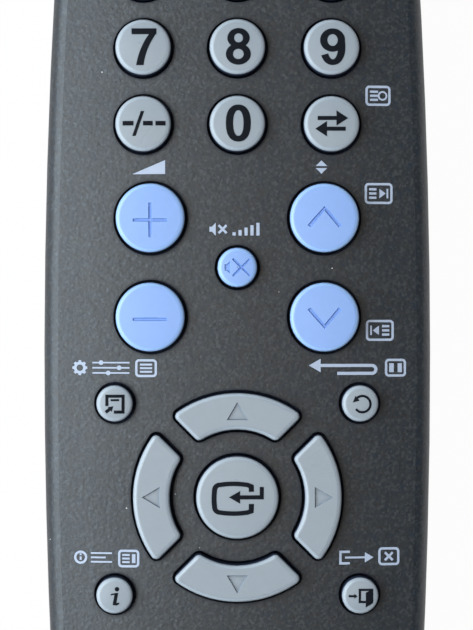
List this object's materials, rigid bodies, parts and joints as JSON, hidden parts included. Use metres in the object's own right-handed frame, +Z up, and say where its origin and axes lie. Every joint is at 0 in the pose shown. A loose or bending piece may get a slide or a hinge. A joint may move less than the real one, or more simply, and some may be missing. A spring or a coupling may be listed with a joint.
{
  "type": "tv remote control",
  "caption": "Hand-held remote control with a domed grey case, round number keys, a ring of direction keys, an infrared window and a sliding battery cover.",
  "frame": {"origin": "under the middle of the case, on the surface that it lies on", "axes": "+Y along the case to the infrared window, +Z up out of the keys, +X to the right of someone who holds it"},
  "size_m": [0.0498, 0.204, 0.0231],
  "materials": {
    "upper_case": "satin, fine metallic fleck",
    "lower_case": "fine matt grain",
    "dark_window": "polished",
    "silicone": "matt",
    "board": "lacquered laminate",
    "carbon": "matt",
    "chip": "matt moulded",
    "metal_can": "satin",
    "capacitor": "shrunk sleeve",
    "clear_lens": "polished",
    "tinned_wire": "bright",
    "cell": "gloss sleeve",
    "contact_metal": "bright nickel",
    "screw_steel": "satin",
    "key_grey": "satin",
    "key_blue": "satin",
    "key_red": "satin",
    "key_green": "satin",
    "key_yellow": "satin",
    "key_deep_blue": "satin",
    "dark_ink": "printed ink",
    "light_ink": "printed ink"
  },
  "bodies": {
    "case": {"upper_housing": "upper_case", "lower_housing": "lower_case", "ir_window": "dark_window", "keypad_sheet": "silicone", "circuit_board": "board", "contact_pads": "carbon", "controller_chip": "chip", "resonator": "metal_can", "filter_capacitor": "capacitor", "chip_resistors": "chip", "ir_led": "clear_lens", "ir_led_leads": "tinned_wire", "battery_left": "cell", "battery_right": "cell", "front_positive_plate": "contact_metal", "front_negative_plate": "contact_metal", "tail_bridge_plate": "contact_metal", "front_spring": "contact_metal", "tail_spring": "contact_metal", "housing_screws": "screw_steel"},
    "battery_cover": {"battery_cover": "lower_case"},
    "key_0": {"key_0": "key_grey"},
    "key_1": {"key_1": "key_grey"},
    "key_2": {"key_2": "key_grey"},
    "key_3": {"key_3": "key_grey"},
    "key_4": {"key_4": "key_grey"},
    "key_5": {"key_5": "key_grey"},
    "key_6": {"key_6": "key_grey"},
    "key_7": {"key_7": "key_grey"},
    "key_8": {"key_8": "key_grey"},
    "key_9": {"key_9": "key_grey"},
    "key_two_digit": {"key_two_digit": "key_grey"},
    "key_last_channel": {"key_last_channel": "key_grey"},
    "source_key": {"source_key": "key_grey"},
    "tools_key": {"tools_key": "key_grey"},
    "return_key": {"return_key": "key_grey"},
    "info_key": {"info_key": "key_grey"},
    "exit_key": {"exit_key": "key_grey"},
    "enter_key": {"enter_key": "key_grey"},
    "up_key": {"up_key": "key_grey"},
    "down_key": {"down_key": "key_grey"},
    "left_key": {"left_key": "key_grey"},
    "right_key": {"right_key": "key_grey"},
    "rewind_key": {"rewind_key": "key_grey"},
    "play_key": {"play_key": "key_grey"},
    "forward_key": {"forward_key": "key_grey"},
    "record_key": {"record_key": "key_grey"},
    "pause_key": {"pause_key": "key_grey"},
    "stop_key": {"stop_key": "key_grey"},
    "mute_key": {"mute_key": "key_blue"},
    "volume_up_key": {"volume_up_key": "key_blue"},
    "volume_down_key": {"volume_down_key": "key_blue"},
    "channel_up_key": {"channel_up_key": "key_blue"},
    "channel_down_key": {"channel_down_key": "key_blue"},
    "power_key": {"power_key": "key_red"},
    "red_key": {"red_key": "key_red"},
    "green_key": {"green_key": "key_green"},
    "yellow_key": {"yellow_key": "key_yellow"},
    "blue_key": {"blue_key": "key_deep_blue"}
  },
  "joints": [
    {"name": "battery_cover_slide", "type": "slide", "parent": "case", "child": "battery_cover", "axis": [0, -1, 0], "range_m": [0, 0.075]},
    {"name": "key_0_press", "type": "slide", "parent": "case", "child": "key_0", "axis": [0, 0, -1], "range_m": [0, 0.0008], "stiffness_N_per_m": 800, "springref_m": -0.0005},
    {"name": "key_1_press", "type": "slide", "parent": "case", "child": "key_1", "axis": [0, 0, -1], "range_m": [0, 0.0008], "stiffness_N_per_m": 800, "springref_m": -0.0005},
    {"name": "key_2_press", "type": "slide", "parent": "case", "child": "key_2", "axis": [0, 0, -1], "range_m": [0, 0.0008], "stiffness_N_per_m": 800, "springref_m": -0.0005},
    {"name": "key_3_press", "type": "slide", "parent": "case", "child": "key_3", "axis": [0, 0, -1], "range_m": [0, 0.0008], "stiffness_N_per_m": 800, "springref_m": -0.0005},
    {"name": "key_4_press", "type": "slide", "parent": "case", "child": "key_4", "axis": [0, 0, -1], "range_m": [0, 0.0008], "stiffness_N_per_m": 800, "springref_m": -0.0005},
    {"name": "key_5_press", "type": "slide", "parent": "case", "child": "key_5", "axis": [0, 0, -1], "range_m": [0, 0.0008], "stiffness_N_per_m": 800, "springref_m": -0.0005},
    {"name": "key_6_press", "type": "slide", "parent": "case", "child": "key_6", "axis": [0, 0, -1], "range_m": [0, 0.0008], "stiffness_N_per_m": 800, "springref_m": -0.0005},
    {"name": "key_7_press", "type": "slide", "parent": "case", "child": "key_7", "axis": [0, 0, -1], "range_m": [0, 0.0008], "stiffness_N_per_m": 800, "springref_m": -0.0005},
    {"name": "key_8_press", "type": "slide", "parent": "case", "child": "key_8", "axis": [0, 0, -1], "range_m": [0, 0.0008], "stiffness_N_per_m": 800, "springref_m": -0.0005},
    {"name": "key_9_press", "type": "slide", "parent": "case", "child": "key_9", "axis": [0, 0, -1], "range_m": [0, 0.0008], "stiffness_N_per_m": 800, "springref_m": -0.0005},
    {"name": "key_two_digit_press", "type": "slide", "parent": "case", "child": "key_two_digit", "axis": [0, 0, -1], "range_m": [0, 0.0008], "stiffness_N_per_m": 800, "springref_m": -0.0005},
    {"name": "key_last_channel_press", "type": "slide", "parent": "case", "child": "key_last_channel", "axis": [0, 0, -1], "range_m": [0, 0.0008], "stiffness_N_per_m": 800, "springref_m": -0.0005},
    {"name": "source_key_press", "type": "slide", "parent": "case", "child": "source_key", "axis": [0, 0, -1], "range_m": [0, 0.0008], "stiffness_N_per_m": 800, "springref_m": -0.0005},
    {"name": "tools_key_press", "type": "slide", "parent": "case", "child": "tools_key", "axis": [0, 0, -1], "range_m": [0, 0.0008], "stiffness_N_per_m": 800, "springref_m": -0.0005},
    {"name": "return_key_press", "type": "slide", "parent": "case", "child": "return_key", "axis": [0, 0, -1], "range_m": [0, 0.0008], "stiffness_N_per_m": 800, "springref_m": -0.0005},
    {"name": "info_key_press", "type": "slide", "parent": "case", "child": "info_key", "axis": [0, 0, -1], "range_m": [0, 0.0008], "stiffness_N_per_m": 800, "springref_m": -0.0005},
    {"name": "exit_key_press", "type": "slide", "parent": "case", "child": "exit_key", "axis": [0, 0, -1], "range_m": [0, 0.0008], "stiffness_N_per_m": 800, "springref_m": -0.0005},
    {"name": "enter_key_press", "type": "slide", "parent": "case", "child": "enter_key", "axis": [0, 0, -1], "range_m": [0, 0.0008], "stiffness_N_per_m": 800, "springref_m": -0.0005},
    {"name": "up_key_press", "type": "slide", "parent": "case", "child": "up_key", "axis": [0, 0, -1], "range_m": [0, 0.0008], "stiffness_N_per_m": 800, "springref_m": -0.0005},
    {"name": "down_key_press", "type": "slide", "parent": "case", "child": "down_key", "axis": [0, 0, -1], "range_m": [0, 0.0008], "stiffness_N_per_m": 800, "springref_m": -0.0005},
    {"name": "left_key_press", "type": "slide", "parent": "case", "child": "left_key", "axis": [0, 0, -1], "range_m": [0, 0.0008], "stiffness_N_per_m": 800, "springref_m": -0.0005},
    {"name": "right_key_press", "type": "slide", "parent": "case", "child": "right_key", "axis": [0, 0, -1], "range_m": [0, 0.0008], "stiffness_N_per_m": 800, "springref_m": -0.0005},
    {"name": "rewind_key_press", "type": "slide", "parent": "case", "child": "rewind_key", "axis": [0, 0, -1], "range_m": [0, 0.0008], "stiffness_N_per_m": 800, "springref_m": -0.0005},
    {"name": "play_key_press", "type": "slide", "parent": "case", "child": "play_key", "axis": [0, 0, -1], "range_m": [0, 0.0008], "stiffness_N_per_m": 800, "springref_m": -0.0005},
    {"name": "forward_key_press", "type": "slide", "parent": "case", "child": "forward_key", "axis": [0, 0, -1], "range_m": [0, 0.0008], "stiffness_N_per_m": 800, "springref_m": -0.0005},
    {"name": "record_key_press", "type": "slide", "parent": "case", "child": "record_key", "axis": [0, 0, -1], "range_m": [0, 0.0008], "stiffness_N_per_m": 800, "springref_m": -0.0005},
    {"name": "pause_key_press", "type": "slide", "parent": "case", "child": "pause_key", "axis": [0, 0, -1], "range_m": [0, 0.0008], "stiffness_N_per_m": 800, "springref_m": -0.0005},
    {"name": "stop_key_press", "type": "slide", "parent": "case", "child": "stop_key", "axis": [0, 0, -1], "range_m": [0, 0.0008], "stiffness_N_per_m": 800, "springref_m": -0.0005},
    {"name": "mute_key_press", "type": "slide", "parent": "case", "child": "mute_key", "axis": [0, 0, -1], "range_m": [0, 0.0008], "stiffness_N_per_m": 800, "springref_m": -0.0005},
    {"name": "volume_up_key_press", "type": "slide", "parent": "case", "child": "volume_up_key", "axis": [0, 0, -1], "range_m": [0, 0.0008], "stiffness_N_per_m": 800, "springref_m": -0.0005},
    {"name": "volume_down_key_press", "type": "slide", "parent": "case", "child": "volume_down_key", "axis": [0, 0, -1], "range_m": [0, 0.0008], "stiffness_N_per_m": 800, "springref_m": -0.0005},
    {"name": "channel_up_key_press", "type": "slide", "parent": "case", "child": "channel_up_key", "axis": [0, 0, -1], "range_m": [0, 0.0008], "stiffness_N_per_m": 800, "springref_m": -0.0005},
    {"name": "channel_down_key_press", "type": "slide", "parent": "case", "child": "channel_down_key", "axis": [0, 0, -1], "range_m": [0, 0.0008], "stiffness_N_per_m": 800, "springref_m": -0.0005},
    {"name": "power_key_press", "type": "slide", "parent": "case", "child": "power_key", "axis": [0, 0, -1], "range_m": [0, 0.0008], "stiffness_N_per_m": 800, "springref_m": -0.0005},
    {"name": "red_key_press", "type": "slide", "parent": "case", "child": "red_key", "axis": [0, 0, -1], "range_m": [0, 0.0008], "stiffness_N_per_m": 800, "springref_m": -0.0005},
    {"name": "green_key_press", "type": "slide", "parent": "case", "child": "green_key", "axis": [0, 0, -1], "range_m": [0, 0.0008], "stiffness_N_per_m": 800, "springref_m": -0.0005},
    {"name": "yellow_key_press", "type": "slide", "parent": "case", "child": "yellow_key", "axis": [0, 0, -1], "range_m": [0, 0.0008], "stiffness_N_per_m": 800, "springref_m": -0.0005},
    {"name": "blue_key_press", "type": "slide", "parent": "case", "child": "blue_key", "axis": [0, 0, -1], "range_m": [0, 0.0008], "stiffness_N_per_m": 800, "springref_m": -0.0005}
  ]
}
